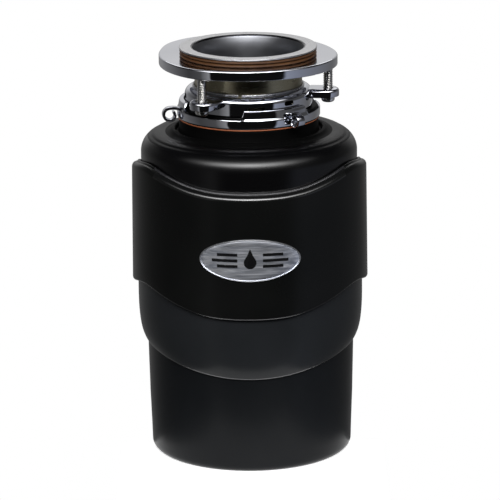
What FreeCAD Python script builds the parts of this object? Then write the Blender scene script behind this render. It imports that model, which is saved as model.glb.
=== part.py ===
import FreeCAD
import Part
import math
import os

from FreeCAD import Vector as V

# Kitchen food-waste disposer with a three-bolt sink mount.
# Millimetres, +Z up, origin at the centre of the base, front (badge side) towards -Y.

os.makedirs("parts", exist_ok=True)

# ---- driving dimensions ------------------------------------------------------
BASE_R = 64.0              # opening in the bottom pan that the base cover closes
DRUM_R_LOW = 81.0          # lower shell, just above the bottom rounding
DRUM_R_TOP = 83.2          # lower shell, under the middle shell
DRUM_TOP = 150.0
SHEET = 1.2                # shell sheet thickness
MID_R = 90.5               # middle shell
MID_TOP = 212.0
BAND_R_TOP = 94.2          # wide upper band
BAND_R_LOW = 94.9
COVER_R = 86.7             # domed top cover
COVER_LIP_R = 58.6
BADGE_Z = 179.2
BADGE_A, BADGE_B = 40.0, 17.25
AXIS_R = 8.0               # motor shaft
RUNNING = 0.05             # radial running clearance of shafts and pins
CORE_LOW, CORE_TOP = 62.0, 112.0
CHAMBER_IN_R = 63.0        # grind and drain chamber bore
NECK_R = 50.0
OUTLET_Z, OUTLET_BORE_R = 173.0, 19.0
OUTLET_FACE = 96.4         # flush with the badge's height at the front
INLET_Z, INLET_AZ = 216.0, 125.0
SLEEVE_R, SLEEVE_IN_R = 43.0, 41.8
FLANGE_R, FLANGE_TOP = 55.0, 331.2
PLATE_TOP = 324.0
SCREW_R, SCREW_CIRCLE = 3.95, 63.7
SCREW_ANGLES = (-5.0, 235.0, 115.0)
LUG_ANGLES = (187.0, 307.0, 67.0)
LUG_LIFTS = (0.0, 3.0, 0.0)
RING_LOW = 275.1           # underside of the lower mounting ring
GAP_ANGLE = 261.3          # split of the snap ring


# ---- helpers -----------------------------------------------------------------
def save(name, *shapes):
    shape = shapes[0] if len(shapes) == 1 else Part.makeCompound(list(shapes))
    shape.exportStep("parts/%s.step" % name)


def ring(r_in, r_out, z0, z1):
    body = Part.makeCylinder(r_out, z1 - z0, V(0, 0, z0))
    if r_in > 0:
        body = body.cut(Part.makeCylinder(r_in, z1 - z0 + 2, V(0, 0, z0 - 1)))
    return body


def rod(r, z0, z1, x=0.0, y=0.0):
    return Part.makeCylinder(r, z1 - z0, V(x, y, z0))


def block(x0, x1, y0, y1, z0, z1):
    return Part.makeBox(x1 - x0, y1 - y0, z1 - z0, V(x0, y0, z0))


def polar(radius, angle, z=0.0):
    a = math.radians(angle)
    return V(radius * math.cos(a), radius * math.sin(a), z)


def turned(shape, angle, x=0.0, y=0.0):
    copy = shape.copy()
    copy.rotate(V(x, y, 0), V(0, 0, 1), angle)
    return copy


def corner_wire(points, radii):
    """Closed outline through (r, z) corners; a corner with a radius is rounded."""
    count = len(points)
    stops, edges = [], []
    for i in range(count):
        p = V(points[i][0], 0, points[i][1])
        rad = radii.get(i, 0.0)
        if rad <= 0:
            stops.append((p, p, None))
            continue
        before = V(points[i - 1][0], 0, points[i - 1][1])
        after = V(points[(i + 1) % count][0], 0, points[(i + 1) % count][1])
        a, b = (before - p).normalize(), (after - p).normalize()
        half = a.getAngle(b) / 2
        reach = rad / math.tan(half)
        middle = (a + b).normalize() * (rad / math.sin(half) - rad)
        stops.append((p + a * reach, p + b * reach, p + middle))
    for i in range(count):
        start, end, mid = stops[i]
        if mid is not None:
            edges.append(Part.Arc(start, mid, end).toShape())
        nxt = stops[(i + 1) % count][0]
        if (nxt - end).Length > 1e-6:
            edges.append(Part.makeLine(end, nxt))
    return Part.Wire(edges)


def spun(points, radii=None):
    face = Part.Face(corner_wire(points, radii or {}))
    return face.revolve(V(0, 0, 0), V(0, 0, 1), 360)


def spaced(shape, count, first=0.0):
    return [turned(shape, first + 360.0 * k / count) for k in range(count)]


def wave_cutter(height, r_in, r_out, z_end):
    """Solid between a closed wavy surface z = height(front angle) and a flat end."""
    def curve(radius):
        pts = []
        for k in range(72):
            a = math.radians(5.0 * k)
            pts.append(V(radius * math.sin(a), -radius * math.cos(a), height(5.0 * k)))
        spline = Part.BSplineCurve()
        spline.interpolate(pts, PeriodicFlag=True)
        return spline.toShape()

    def circle(radius):
        wire = Part.makeCircle(radius, V(0, 0, z_end))
        wire.rotate(V(0, 0, 0), V(0, 0, 1), -90)
        return wire
    low, high = (curve(r_in), curve(r_out)), (circle(r_in), circle(r_out))
    faces = [Part.makeRuledSurface(low[0], low[1]),
             Part.makeRuledSurface(low[1], high[1]),
             Part.makeRuledSurface(high[1], high[0]),
             Part.makeRuledSurface(high[0], low[0])]
    shell = Part.makeShell([f for s in faces for f in s.Faces])
    shell.sewShape()
    solid = Part.makeSolid(shell)
    if solid.Volume < 0:
        solid.reverse()
    return solid


def fold(psi):
    """Front angle folded to 0..90 degrees: the waves repeat left/right and front/back."""
    psi = abs((psi + 180.0) % 360.0 - 180.0)
    return 180.0 - psi if psi > 90 else psi


def wave(psi, low, peak, side):
    """Valley at the front, highest near 63 degrees, a little lower at the side."""
    f = fold(psi)
    if f < 8:
        return low
    if f < 63:
        t = (f - 8) / 55.0
        return low + (peak - low) * t * t * (3 - 2 * t)
    t = (f - 63) / 27.0
    return peak + (side - peak) * t * t * (3 - 2 * t)


def band_top(psi):
    """Valley at the front, peaks before the sides, a drop behind them and a low back."""
    def ease(t):
        t = max(0.0, min(1.0, t))
        return t * t * (3 - 2 * t)
    f = abs((psi + 180.0) % 360.0 - 180.0)
    if f <= 88:
        return wave(f, 230.1, 243.3, 238.0)
    return 238.0 - 9.6 * ease((f - 88) / 27.0) + 4.6 * ease((f - 115) / 40.0)


def band_bottom(psi):
    return wave(psi, 129.9, 147.5, 140.5)


def mid_bottom(psi):
    return 86.0 - 7.6 * math.cos(math.radians(2 * psi))


# ---- outer shells ------------------------------------------------------------
lower_outer = [(64.0, 0.0), (81.0 - 0.6, 0.0), (DRUM_R_LOW, 10.0), (81.9, 36.0), (DRUM_R_TOP, 87.0),
               (DRUM_R_TOP, DRUM_TOP), (DRUM_R_TOP - SHEET, DRUM_TOP), (DRUM_R_TOP - SHEET, 87.0),
               (81.9 - SHEET, 36.0), (DRUM_R_LOW - SHEET, 10.0), (79.2, 1.5), (65.5, 1.5), (65.5, 10.0),
               (64.0, 10.0)]
lower_shell = spun(lower_outer, {1: 6.0, 10: 4.5})
save("lower_shell", lower_shell)

mid = [(83.2, 76.0), (84.6, 76.0), (84.6, 93.5), (88.0, 101.5), (89.8, 112.0), (MID_R, 129.0),
       (MID_R, MID_TOP),
       (76.0, MID_TOP), (76.0, 210.4), (MID_R - 1.5, 210.4), (MID_R - 1.5, 129.0), (88.3, 112.5),
       (86.6, 102.3), (83.2, 94.0)]
middle_shell = spun(mid, {2: 6, 3: 12, 4: 20})
middle_shell = middle_shell.cut(wave_cutter(mid_bottom, 79.0, 100.0, 60.0))

inlet_hole = Part.makeCylinder(12.5, 66, polar(60, INLET_AZ, INLET_Z), polar(1, INLET_AZ))


def boss_outline(grow):
    """Outlet boss seen from behind: a rounded plate with a screw ear each side."""
    half_x, half_z = 38.0 + grow, 21.5 + grow
    slab = Part.makeBox(2 * half_x, 60, 2 * half_z, V(-half_x, 70, OUTLET_Z - half_z))
    edges = [e for e in slab.Edges if abs(e.tangentAt(e.FirstParameter).y) > 0.9]
    return slab.makeFillet(16.0 + grow, edges)


outlet_hole = boss_outline(1.5)


def beside_outlet(shell):
    """Wall and the two short bridges that close it above and below the outlet opening."""
    gap = block(-22.0, 22.0, 60.0, 110.0, 60.0, 270.0)
    return [shell.cut(gap)] + shell.common(gap).Solids


middle_shell = middle_shell.cut(outlet_hole).cut(inlet_hole)
save("middle_shell", *beside_outlet(middle_shell))

band = spun([(MID_R, 120.0), (BAND_R_LOW, 120.0), (BAND_R_LOW, 146.0), (BAND_R_TOP, 229.0), (BAND_R_TOP, 250.0),
             (COVER_R, 250.0), (COVER_R, 214.0), (MID_R, 214.0)])
band = band.cut(wave_cutter(band_bottom, 80.0, 110.0, 100.0))
band = band.cut(wave_cutter(band_top, 80.0, 110.0, 270.0))
band = band.cut(outlet_hole).cut(inlet_hole)
save("trim_band", *beside_outlet(band))

cover = spun([(COVER_R, MID_TOP), (COVER_R, 262.5), (68.0, 262.5), (64.0, 262.6), (61.0, 265.5),
              (COVER_LIP_R, 265.5), (COVER_LIP_R, 259.5), (85.2 - 20, 261.0), (COVER_R - 1.5, 261.0),
              (COVER_R - 1.5, MID_TOP)], {1: 16.0, 3: 4.0, 4: 1.0, 8: 14.5})
cover = cover.cut(spun([(77.2, 261.3), (78.3, 261.3), (78.3, 264.0), (77.2, 264.0)]))
cover = cover.cut(inlet_hole)
save("top_cover", cover)

# ---- badge, no lettering -----------------------------------------------------
def oval(a, b, depth=12.0):
    edge = Part.Ellipse(V(0, -104, BADGE_Z), a, b)
    edge = edge.toShape()
    edge.rotate(V(0, -104, BADGE_Z), V(1, 0, 0), 90)
    return Part.Face(Part.Wire([edge])).extrude(V(0, depth + 10, 0))


def on_front(outline, r_out):
    skin = ring(92.0, r_out, BADGE_Z - 30, BADGE_Z + 30).common(outline)
    return skin.cut(band)


bezel = on_front(oval(BADGE_A, BADGE_B), 96.4).cut(oval(BADGE_A - 1.7, BADGE_B - 1.7))
plate_body = on_front(oval(BADGE_A - 1.7, BADGE_B - 1.7), 95.8)
drop = Part.makeCylinder(5.0, 30, V(0, -110, BADGE_Z - 1.6), V(0, 1, 0))
tip = Part.Face(Part.makePolygon([V(-4.4, -110, BADGE_Z + 0.6), V(4.4, -110, BADGE_Z + 0.6),
                                  V(0, -110, BADGE_Z + 9.6), V(-4.4, -110, BADGE_Z + 0.6)]))
drop = drop.fuse(tip.extrude(V(0, 30, 0)))
stripes = []
for side in (-1, 1):
    for dz, length in ((-4.6, 16.0), (0.0, 20.0), (4.6, 16.0)):
        x0, x1 = sorted((side * 10.0, side * (10.0 + length)))
        stripes.append(block(x0, x1, -110, -80, BADGE_Z + dz - 1.2, BADGE_Z + dz + 1.2))
emblem_parts = []
for tool in [drop] + stripes:
    outer = ring(95.2, 96.0, BADGE_Z - 30, BADGE_Z + 30).common(tool)
    outer = outer.common(block(-60, 60, -120, 0, 100, 300))
    emblem_parts.append(outer)
    plate_body = plate_body.cut(outer)
save("badge_bezel", bezel)
save("badge_plate", plate_body)
save("badge_emblem", *emblem_parts)

# ---- base and wiring ---------------------------------------------------------
CONDUIT = (-36.0, -18.0)
BUTTON = (36.0, -22.0)
WIRE_BOX = (-18.0, 18.0, 24.0, 50.0)
base_cover = ring(0, BASE_R, 8.0, 10.0).fuse(ring(62.4, BASE_R, 3.0, 9.0))
base_cover = base_cover.cut(rod(10.0, 0, 20)).cut(rod(11.1, 0, 20, *CONDUIT)).cut(rod(5.0, 0, 20, *BUTTON))
base_cover = base_cover.cut(block(WIRE_BOX[0], WIRE_BOX[1], WIRE_BOX[2], WIRE_BOX[3], 0, 20))
base_cover = base_cover.cut(rod(2.0, 0, 20, 0, 54.5)).cut(rod(2.0, 0, 20, -46.0, 18.0))
save("base_cover", base_cover)

wire_plate = block(-21, 21, 21, 58, 6.8, 8.0).cut(rod(2.0, 0, 20, 0, 54.5))
save("wiring_cover_plate", wire_plate)
save("wiring_cover_screw", rod(2.0, 6.8, 16.0, 0, 54.5).fuse(rod(4.0, 4.6, 6.8, 0, 54.5))
     .cut(block(-5, 5, 54.0, 55.0, 4.0, 5.6)))
save("ground_screw", rod(2.0, 8.0, 17.0, -46, 18).fuse(rod(4.4, 5.6, 8.0, -46, 18))
     .cut(block(-51, -41, 17.5, 18.5, 5.0, 6.6)))
overload = block(BUTTON[0] - 12, BUTTON[0] + 12, BUTTON[1] - 9, BUTTON[1] + 9, 10.0, 23.0)
overload = overload.cut(rod(5.0, 9, 19.0, *BUTTON))
save("overload_protector", overload)
save("reset_button", rod(4.95, 6.0, 15.5, *BUTTON))

# ---- motor -------------------------------------------------------------------
lower_frame = ring(11.0, 75.0, 30.0, 35.0).fuse(ring(62.0, 75.0, 35.0, CORE_LOW))
lower_frame = lower_frame.fuse(ring(11.0, 18.0, 24.0, 42.0))
lower_frame = lower_frame.fuse(ring(74.0, 80.4, 30.0, 33.0))
bolt_spots = [polar(71.0, 45 + 90 * k) for k in range(4)]
for p in bolt_spots:
    lower_frame = lower_frame.cut(rod(2.6, 20, 70, p.x, p.y))
vents = [turned(block(32, 56, -5, 5, 29, 37), 60 * k) for k in range(6)]
for v in vents:
    lower_frame = lower_frame.cut(v)
save("lower_end_frame", lower_frame.removeSplitter())

upper_bell = ring(11.0, 75.0, 145.0, 150.0).fuse(ring(62.0, 75.0, CORE_TOP, 146.0))
upper_bell = upper_bell.fuse(ring(11.0, 18.0, 132.0, 150.0)).fuse(ring(74.0, DRUM_R_TOP - SHEET, 146.0, 150.0))
for p in bolt_spots:
    upper_bell = upper_bell.cut(rod(2.6, 100, 149, p.x, p.y))
save("upper_end_bell", upper_bell.removeSplitter())

stator = ring(39.2, 67.0, CORE_LOW, CORE_TOP)
for p in bolt_spots:
    stator = stator.cut(rod(2.6, 60, 114, p.x, p.y))
save("stator_core", stator)
save("upper_winding", spun([(42.0, CORE_TOP), (60.0, CORE_TOP), (60.0, 129.0), (42.0, 129.0)], {2: 6, 3: 6}))
save("lower_winding", spun([(42.0, 44.0), (60.0, 44.0), (60.0, CORE_LOW), (42.0, CORE_LOW)], {0: 6, 1: 6}))
save("through_bolts", *[rod(2.5, 30.0, 147.0, p.x, p.y).fuse(rod(4.6, 26.0, 30.0, p.x, p.y))
                        for p in bolt_spots])
save("lower_bushing", ring(AXIS_R + RUNNING, 11.0, 24.0, 42.0))
save("upper_bushing", ring(AXIS_R + RUNNING, 11.0, 132.0, 150.0))

shaft = rod(AXIS_R, 16.0, 205.0)
save("shaft", shaft)
hexagon = Part.Face(Part.makePolygon([polar(3.72, 60 * k, 9.0) for k in range(7)])).extrude(V(0, 0, 7.0))
save("wrench_socket", rod(8.0, 9.0, 16.0).cut(hexagon))
rotor_core = ring(AXIS_R, 38.6, CORE_LOW, CORE_TOP).cut(ring(16.0, 26.0, 60.0, 114.0))
save("rotor_core", rotor_core.fuse(ring(16.0, 26.0, 80.0, 94.0)))
rings = ring(24.0, 36.0, 56.0, CORE_LOW), ring(24.0, 36.0, CORE_TOP, 118.0)
save("rotor_end_rings", *rings)
save("thrust_washer", ring(AXIS_R, 13.0, 42.3, 45.0))
save("centrifugal_actuator", spun([(AXIS_R, 46.0), (21.0, 46.0), (21.0, 48.0), (12.0, 55.0), (AXIS_R, 55.0)]))
save("start_switch", block(-9, 9, -61.0, -34, 35.0, 43.0))

# ---- drain chamber -----------------------------------------------------------
chamber = ring(12.0, 74.0, 150.0, 195.0).cut(ring(18.0, CHAMBER_IN_R, 153.5, 196.0))
chamber = chamber.cut(rod(20.0, 163.0, 200.0))
chamber = chamber.cut(block(-25.0, 25.0, 50.0, 80.0, 153.5, 196.0))
outlet = ring(CHAMBER_IN_R, 74.0, 153.5, 195.0).common(block(-25.0, 25.0, 50.0, 80.0, 150.0, 196.0))
spigot = Part.makeCylinder(21.0, 24.0, V(0, 66, OUTLET_Z), V(0, 1, 0)).cut(rod(74.0, 140, 200))
outlet = outlet.fuse(spigot)
outlet = outlet.fuse(boss_outline(0.0).common(block(-50, 50, OUTLET_FACE - 8.0, OUTLET_FACE, 140, 200)))
outlet = outlet.cut(Part.makeCylinder(OUTLET_BORE_R, 60, V(0, 55, OUTLET_Z), V(0, 1, 0)))
for x in (-30.0, 30.0):
    outlet = outlet.cut(Part.makeCylinder(3.2, 30, V(x, 80, OUTLET_Z), V(0, 1, 0)))
save("outlet_body", outlet.removeSplitter())
screw_spots = [polar(69.0, 60 * k) for k in range(6)]
for p in screw_spots:
    chamber = chamber.cut(rod(2.5, 186, 197, p.x, p.y))
save("drain_chamber", chamber.removeSplitter())
save("shaft_seal", ring(AXIS_R + RUNNING, 12.0, 150.0, 163.0))
save("water_slinger", spun([(AXIS_R, 166.0), (21.0, 164.6), (21.0, 166.4), (12.0, 172.0), (AXIS_R, 172.0)]))
gasket = ring(CHAMBER_IN_R, 74.0, 195.0, 196.0)
for p in screw_spots:
    gasket = gasket.cut(rod(2.5, 190, 200, p.x, p.y))
save("chamber_gasket", gasket)

# ---- grind chamber -----------------------------------------------------------
container = spun([(CHAMBER_IN_R, 196.0), (74.0, 196.0), (74.0, 199.0), (65.5, 199.0), (65.5, 240.0), (NECK_R, 256.0),
                  (NECK_R, 277.0), (52.5, 277.0), (52.5, 279.5), (47.5, 279.5), (47.5, 255.0),
                  (CHAMBER_IN_R, 239.0)], {4: 6, 5: 3, 10: 4, 11: 8})
inlet_tube = Part.makeCylinder(10.5, 32.0, polar(64, INLET_AZ, INLET_Z), polar(1, INLET_AZ))
inlet_tube = inlet_tube.fuse(Part.makeCylinder(11.1, 12.0, polar(96, INLET_AZ, INLET_Z), polar(1, INLET_AZ)))
container = container.fuse(inlet_tube)
container = container.cut(Part.makeCylinder(9.0, 60, polar(58, INLET_AZ, INLET_Z), polar(1, INLET_AZ)))
for p in screw_spots:
    container = container.cut(rod(2.5, 190, 200, p.x, p.y))
save("grind_container", container.removeSplitter())
save("container_screws", *[rod(2.45, 186.0, 199.0, p.x, p.y).fuse(rod(3.4, 199.0, 202.5, p.x, p.y))
                           for p in screw_spots])
grind_ring = ring(58.0, CHAMBER_IN_R, 196.0, 214.0)
slot = block(55, 61.4, -2.2, 2.2, 195.0, 209.0)
for s in spaced(slot, 20, 9.0):
    grind_ring = grind_ring.cut(s)
# relief in front of the dishwasher inlet
grind_ring = grind_ring.cut(Part.makeCylinder(9.0, 12, polar(55, INLET_AZ, INLET_Z), polar(1, INLET_AZ)))
save("grind_ring", grind_ring.removeSplitter())

turntable = ring(AXIS_R, 56.6, 197.0, 200.0).fuse(ring(AXIS_R, 15.0, 186.0, 197.0))
for s in spaced(rod(3.0, 190, 210, 46.0, 0), 6, 30.0):
    turntable = turntable.cut(s)
PIN_R = 40.0
for side in (0, 180):
    p = polar(PIN_R, side)
    turntable = turntable.cut(rod(3.0, 190, 210, p.x, p.y))
save("turntable", turntable.removeSplitter())
save("turntable_nut", ring(AXIS_R, 12.0, 200.0, 205.0))
pins = []
for side in (0, 180):
    p = polar(PIN_R, side)
    pins.append(rod(3.0, 197.0, 206.4, p.x, p.y).fuse(rod(4.8, 206.4, 208.4, p.x, p.y)))
save("lug_pins", *pins)


def impeller(side):
    p = polar(PIN_R, side)
    foot = rod(7.0, 200.1, 206.3, p.x, p.y)
    arm = block(p.x - 4.5, p.x + 4.5, -13.0, 0.0, 200.1, 206.3)
    nose = block(p.x - 4.5, p.x + 4.5, -13.0, -8.2, 206.3, 212.0)
    lug = foot.fuse(arm).fuse(nose)
    return lug.cut(rod(3.0 + RUNNING, 190, 220, p.x, p.y)).removeSplitter()


save("impeller_lug_a", impeller(0))
save("impeller_lug_b", turned(impeller(0), 180))
jacket = ring(65.5, 85.2, MID_TOP, 238.0).cut(inlet_hole)
save("insulation_jacket", jacket)

# ---- neck --------------------------------------------------------------------
collar = spun([(NECK_R, 259.4), (COVER_LIP_R, 259.4), (COVER_LIP_R, 263.0), (55.8, 263.0), (55.8, 273.8),
               (NECK_R, 273.8)], {4: 1.5})
save("neck_collar", collar)
save("fibre_washer", ring(NECK_R, 56.6, 273.8, 274.9))
cushion = spun([(44.4, 268.0), (47.5, 268.0), (47.5, 279.5), (52.5, 279.5), (52.5, 277.1), (55.2, 277.1),
                (55.2, 283.5), (41.0, 283.5), (41.0, 280.0), (44.4, 278.0)], {6: 1.5})
save("cushion_mount", cushion)
baffle = ring(12.0, 44.4, 270.0, 272.0)
for s in spaced(block(11.0, 40.0, -0.4, 0.4, 269.0, 273.0), 8, 22.5):
    baffle = baffle.cut(s)
save("splash_baffle", baffle)

# ---- sink flange, gaskets and backup plate ----------------------------------
sink_flange = spun([(SLEEVE_IN_R, 283.5), (SLEEVE_R, 283.5), (SLEEVE_R, 322.5), (46.4, 329.8), (FLANGE_R, 329.8),
                    (FLANGE_R, FLANGE_TOP), (45.4, FLANGE_TOP), (SLEEVE_IN_R, 322.0)], {5: 0.5, 6: 2.0, 7: 12.0})
save("sink_flange", sink_flange)
for name, r_in, z0, z1 in (("sink_gasket_lower", 45.6, 324.0, 326.8), ("sink_gasket_upper", 47.0, 326.8, 329.6)):
    save(name, spun([(r_in, z0), (54.6, z0), (54.6, z1), (r_in, z1)], {1: 1.1, 2: 1.1}))

OUTLINE = ((-90, 66.5), (-65, 67.0), (-35, 69.5), (-5, 71.4), (20, 71.6), (45, 73.5), (70, 76.0), (95, 81.0),
           (118, 85.0), (140, 82.0), (160, 75.0), (180, 71.2), (205, 69.8), (235, 70.4), (255, 67.4))


def plate_outline(offset, z):
    spline = Part.BSplineCurve()
    spline.interpolate([polar(r - offset, a, z) for a, r in OUTLINE], PeriodicFlag=True)
    return Part.Wire([spline.toShape()])


def prism(offset, z0, z1):
    return Part.Face(plate_outline(offset, z0)).extrude(V(0, 0, z1 - z0))


plate = prism(0, 316.0, PLATE_TOP)
top_edges = [e for e in plate.Edges if abs(e.BoundBox.ZMin - PLATE_TOP) < 0.01 and e.BoundBox.ZLength < 0.01]
plate = plate.makeFillet(1.2, top_edges)
plate = plate.cut(prism(2.0, 310.0, 321.0)).cut(rod(44.4, 300, 340))
save("backup_flange", plate)

ring_wire = Part.Face(Part.Wire([Part.makeCircle(0.9, V(43.9, 0, 299.9), V(0, 1, 0))]))
snap = ring_wire.revolve(V(0, 0, 0), V(0, 0, 1), 356.0)
save("snap_ring", turned(snap, GAP_ANGLE + 2.0))

# ---- upper mounting ring with three ears ------------------------------------
upper_ring = spun([(43.3, 297.0), (43.3, 299.0), (51.0, 299.0), (51.0, 284.0), (49.0, 284.0), (49.0, 297.0)],
                  {2: 6.0, 5: 4.0})
ear_top = 297.6
for angle in SCREW_ANGLES:
    ear = block(48.0, 61.6, -11, 11, 291.0, ear_top).fuse(rod(11.0, 291.0, ear_top, 61.6, 0))
    hollow = block(49.0, 61.6, -9, 9, 290.0, ear_top - 2.0).fuse(rod(9.0, 290.0, ear_top - 2.0, 61.6, 0))
    ear = ear.cut(hollow).cut(rod(50.0, 280.0, 310.0)).cut(rod(SCREW_R + RUNNING, 280, 310, SCREW_CIRCLE, 0))
    upper_ring = upper_ring.fuse(turned(ear, angle))
for angle in SCREW_ANGLES:
    ramp = Part.Face(Part.makePolygon([V(50.5, 0, 284.0), V(52.6, 0, 284.0), V(52.6, 0, 286.4), V(50.5, 0, 286.4),
                                       V(50.5, 0, 284.0)])).revolve(V(0, 0, 0), V(0, 0, 1), 56)
    upper_ring = upper_ring.fuse(turned(ramp, angle + 32))
for angle in SCREW_ANGLES:
    window = block(47, 53, -7.0, 7.0, 287.4, 291.4)
    upper_ring = upper_ring.cut(turned(window, angle + 42))
    small = block(47, 53, -4.6, 4.6, 291.4, 294.8)
    upper_ring = upper_ring.cut(turned(small, angle + 74))
save("upper_mounting_ring", upper_ring.removeSplitter())

# ---- mounting screws, slotted round heads below the ears --------------------
for number, angle in enumerate(SCREW_ANGLES, 1):
    p = polar(SCREW_CIRCLE, angle)
    head = rod(5.4, 285.9, 290.5, p.x, p.y)
    head = head.makeFillet(1.4, [e for e in head.Edges if abs(e.BoundBox.ZMax - 285.9) < 0.01])
    screw = rod(SCREW_R, 289.0, 320.7, p.x, p.y).fuse(head)
    screw = screw.cut(block(p.x - 6, p.x + 6, p.y - 0.6, p.y + 0.6, 285.0, 287.4))
    save("mounting_screw_%d" % number, screw.removeSplitter())

# ---- lower mounting ring with tall segments and rolled lugs -----------------
low_ring = spun([(50.5, RING_LOW), (57.2, RING_LOW), (57.2, 282.5), (55.7, 282.5), (55.7, 276.8), (50.5, 276.8)],
                {1: 0.8, 4: 0.5})
for angle in SCREW_ANGLES:
    wall = Part.Face(Part.makePolygon([V(55.7, 0, 282.0), V(57.2, 0, 282.0), V(57.2, 0, 282.6), V(54.2, 0, 289.4),
                                       V(51.6, 0, 289.4), V(51.6, 0, 287.9), V(53.3, 0, 287.9),
                                       V(55.7, 0, 282.4), V(55.7, 0, 282.0)]))
    low_ring = low_ring.fuse(turned(wall.revolve(V(0, 0, 0), V(0, 0, 1), 62), angle + 29))


def scroll(angle, lift):
    """Tongue that leaves the band outward and rolls over into a loop along the tangent."""
    centre, r_mid, half, width = V(63.4, 0, 277.6 + lift), 5.0, 1.2, 7.4
    top = V(centre.x - 2.0, 0, centre.z + 4.8)
    outer = Part.Face(Part.Wire([Part.makeCircle(r_mid + half, centre, V(0, 1, 0))])).extrude(V(0, width, 0))
    inner = Part.Face(Part.Wire([Part.makeCircle(r_mid - half, centre, V(0, 1, 0))])).extrude(V(0, width, 0))
    roll = outer.cut(inner).cut(block(centre.x - 8, centre.x - 1.6, -1, width + 1, centre.z - 2.6, centre.z + 1.2))
    root = block(55.0 if lift else 56.6, centre.x, 0, width, centre.z + r_mid - half, centre.z + r_mid + half)
    root = root.cut(inner)
    body = roll.fuse(root)
    body.translate(V(0, -width / 2, 0))
    return turned(body, angle)


for angle, lift in zip(LUG_ANGLES, LUG_LIFTS):
    low_ring = low_ring.fuse(scroll(angle, lift))
save("lower_mounting_ring", low_ring.removeSplitter())
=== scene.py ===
"""Kitchen garbage disposal with a three-bolt sink mount: the visible surfaces around the CAD frame."""
import math

import bpy
from mathutils import Matrix, Vector


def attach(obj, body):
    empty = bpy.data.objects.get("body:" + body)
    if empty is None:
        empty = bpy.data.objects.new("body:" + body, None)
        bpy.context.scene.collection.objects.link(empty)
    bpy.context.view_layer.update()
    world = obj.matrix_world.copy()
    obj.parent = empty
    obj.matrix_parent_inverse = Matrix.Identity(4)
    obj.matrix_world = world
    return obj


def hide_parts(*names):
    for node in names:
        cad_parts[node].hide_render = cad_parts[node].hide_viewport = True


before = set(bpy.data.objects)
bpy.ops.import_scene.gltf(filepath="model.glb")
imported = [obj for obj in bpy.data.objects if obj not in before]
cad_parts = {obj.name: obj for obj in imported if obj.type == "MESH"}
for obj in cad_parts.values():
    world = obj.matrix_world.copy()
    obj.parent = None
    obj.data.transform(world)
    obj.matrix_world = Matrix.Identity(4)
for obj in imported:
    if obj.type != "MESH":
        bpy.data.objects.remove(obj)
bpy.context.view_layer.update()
MM = 0.001
ROOT = "disposer"
SCREW_ANGLES = (-5.0, 235.0, 115.0)      # counter-clockwise from +X, seen from above
LUG_ANGLES = (187.0, 307.0, 67.0)
SCREW_RADIUS = 63.7      # from the axis to the middle of a mounting screw
SHARP_ANGLE = 32.0       # edges over this many degrees stay crisp


# ---- geometry helpers --------------------------------------------------------
def smooth(t):
    """Ease from 0 to 1, flat at both ends."""
    t = max(0.0, min(1.0, t))
    return t * t * (3 - 2 * t)


def lerp_table(table, x):
    """Value at x of a table of (x, y) points, straight between them."""
    if x <= table[0][0]:
        return table[0][1]
    for (x0, y0), (x1, y1) in zip(table, table[1:]):
        if x <= x1:
            return y0 + (y1 - y0) * (x - x0) / (x1 - x0)
    return table[-1][1]


def arc(cx, cz, r, a0, a1, n):
    """Points on an arc in the (radius, height) plane, angles in degrees."""
    out = []
    for k in range(n + 1):
        a = math.radians(a0 + (a1 - a0) * k / n)
        out.append((cx + r * math.cos(a), cz + r * math.sin(a)))
    return out


def rounded(points, radii, steps=4):
    """Closed (r, z) outline with the given corners rounded."""
    out, count = [], len(points)
    for i, p in enumerate(points):
        rad = radii.get(i, 0.0)
        if rad <= 0:
            out.append(p)
            continue
        here = Vector(p)
        a = (Vector(points[i - 1]) - here).normalized()
        b = (Vector(points[(i + 1) % count]) - here).normalized()
        half = a.angle(b) / 2
        reach = rad / math.tan(half)
        centre = here + (a + b).normalized() * (rad / math.sin(half))
        start, end = here + a * reach - centre, here + b * reach - centre
        turn = start.angle_signed(end)
        for k in range(steps + 1):
            v = start.copy()
            v.rotate(Matrix.Rotation(-turn * k / steps, 2))
            out.append((centre.x + v.x, centre.y + v.y))
    return out


def make_object(name, verts, faces, material):
    """Smooth-shaded mesh object from points in millimetres."""
    mesh = bpy.data.meshes.new(name)
    mesh.from_pydata([Vector(v) * MM for v in verts], [], faces)
    mesh.validate()
    mesh.update()
    for poly in mesh.polygons:
        poly.use_smooth = True
    mesh.set_sharp_from_angle(angle=math.radians(SHARP_ANGLE))
    obj = bpy.data.objects.new(name, mesh)
    bpy.context.scene.collection.objects.link(obj)
    obj.data.materials.append(material)
    return obj


def orient(obj):
    """Turn every face of a closed mesh outward."""
    import bmesh
    bm = bmesh.new()
    bm.from_mesh(obj.data)
    bmesh.ops.recalc_face_normals(bm, faces=bm.faces)
    bm.to_mesh(obj.data)
    bm.free()
    obj.data.set_sharp_from_angle(angle=math.radians(SHARP_ANGLE))
    return obj


def second_material(obj, material, chosen):
    """Give another material to the faces for which chosen(centre in mm, normal) holds."""
    obj.data.materials.append(material)
    index = len(obj.data.materials) - 1
    for poly in obj.data.polygons:
        if chosen(poly.center / MM, poly.normal):
            poly.material_index = index


def settle(obj, body, slot, *nodes):
    """Turn the faces outward, tie the piece to its body, and hide the CAD nodes it covers; slot is not
    used.
    """
    orient(obj)
    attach(obj, body)
    if nodes:
        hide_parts(*nodes)
    return obj


def lathe(name, section, material, steps=192):
    """Closed ring: section(psi) gives the closed (r, z) loop at the angle psi from the front."""
    verts, faces = [], []
    rows = [section(360.0 * k / steps) for k in range(steps)]
    n = len(rows[0])
    for k, row in enumerate(rows):
        a = math.radians(360.0 * k / steps)
        verts += [(r * math.sin(a), -r * math.cos(a), z) for r, z in row]
    for k in range(steps):
        base, nxt = k * n, ((k + 1) % steps) * n
        for i in range(n):
            j = (i + 1) % n
            faces.append((base + i, base + j, nxt + j, nxt + i))
    return make_object(name, verts, faces, material)


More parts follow.
